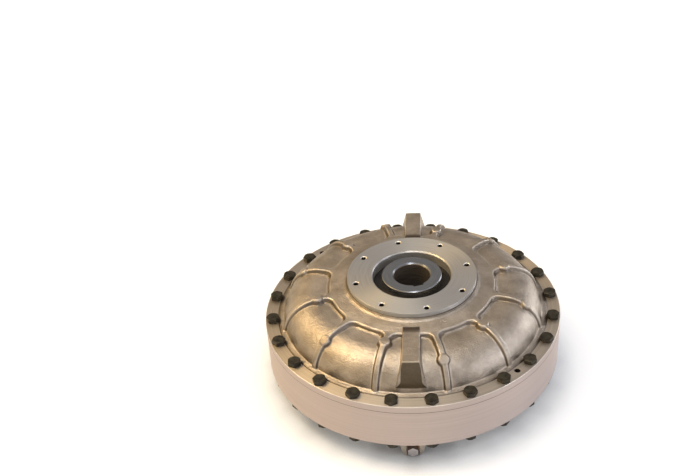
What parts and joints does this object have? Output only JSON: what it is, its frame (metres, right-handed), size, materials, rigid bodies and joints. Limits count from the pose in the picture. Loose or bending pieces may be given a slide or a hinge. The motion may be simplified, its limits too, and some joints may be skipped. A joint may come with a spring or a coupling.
{
  "type": "fluid coupling",
  "caption": "Fluid coupling: ribbed aluminium casing bolted round its rim, with a bladed wheel on a keyed hollow shaft turning inside it.",
  "frame": {"origin": "centre of the rear hub face, on the axis, at the lowest level of the part", "axes": "+Z along the axis towards the front hub face, -Y towards the filler plug lug, +X to the right of it"},
  "size_m": [0.4, 0.4, 0.156],
  "materials": {
    "cast_aluminium": "satin cast, machined on the rim and hub",
    "black_steel": "black oxide",
    "shaft_steel": "turned",
    "seal_rubber": "matte",
    "seal_paint": "satin black",
    "copper": "soft copper",
    "fusible_alloy": "dull",
    "cage_brass": "satin",
    "plug_steel": "plated",
    "bearing_steel": "ground"
  },
  "bodies": {
    "casing": {"front_cover": "cast_aluminium", "rear_casing": "cast_aluminium", "rim_bolts": "black_steel", "rim_nuts": "black_steel", "joint_cord": "seal_rubber", "filler_plug": "plug_steel", "filler_plug_gasket": "copper", "fusible_plug": "plug_steel", "fusible_plug_gasket": "copper", "fusible_core": "fusible_alloy", "front_bearing_outer_race": "bearing_steel", "front_seal_case": "seal_paint", "front_seal_lip": "seal_rubber", "front_seal_spring": "bearing_steel", "rear_bearing_outer_race": "bearing_steel", "rear_seal_case": "seal_paint", "rear_seal_lip": "seal_rubber", "rear_seal_spring": "bearing_steel"},
    "rotor": {"hollow_shaft": "shaft_steel", "inner_wheel": "cast_aluminium", "wheel_screws": "black_steel", "front_bearing_inner_race": "bearing_steel", "front_retaining_ring": "bearing_steel", "rear_bearing_inner_race": "bearing_steel", "rear_retaining_ring": "bearing_steel"},
    "front_roller_set": {"front_bearing_rollers": "bearing_steel", "front_bearing_cage": "cage_brass"},
    "rear_roller_set": {"rear_bearing_rollers": "bearing_steel", "rear_bearing_cage": "cage_brass"}
  },
  "joints": [
    {"name": "shaft_spin", "type": "hinge", "parent": "casing", "child": "rotor", "pos_m": [0, 0, 0.079], "axis": [0, 0, 1], "continuous": true},
    {"name": "front_rollers_spin", "type": "hinge", "parent": "casing", "child": "front_roller_set", "pos_m": [0, 0, 0.115], "axis": [0, 0, 1], "continuous": true},
    {"name": "rear_rollers_spin", "type": "hinge", "parent": "casing", "child": "rear_roller_set", "pos_m": [0, 0, 0.041], "axis": [0, 0, 1], "continuous": true}
  ],
  "couplings": [
    {"joint": "front_rollers_spin", "follows": "shaft_spin", "ratio": 0.4466},
    {"joint": "rear_rollers_spin", "follows": "shaft_spin", "ratio": 0.4466}
  ]
}
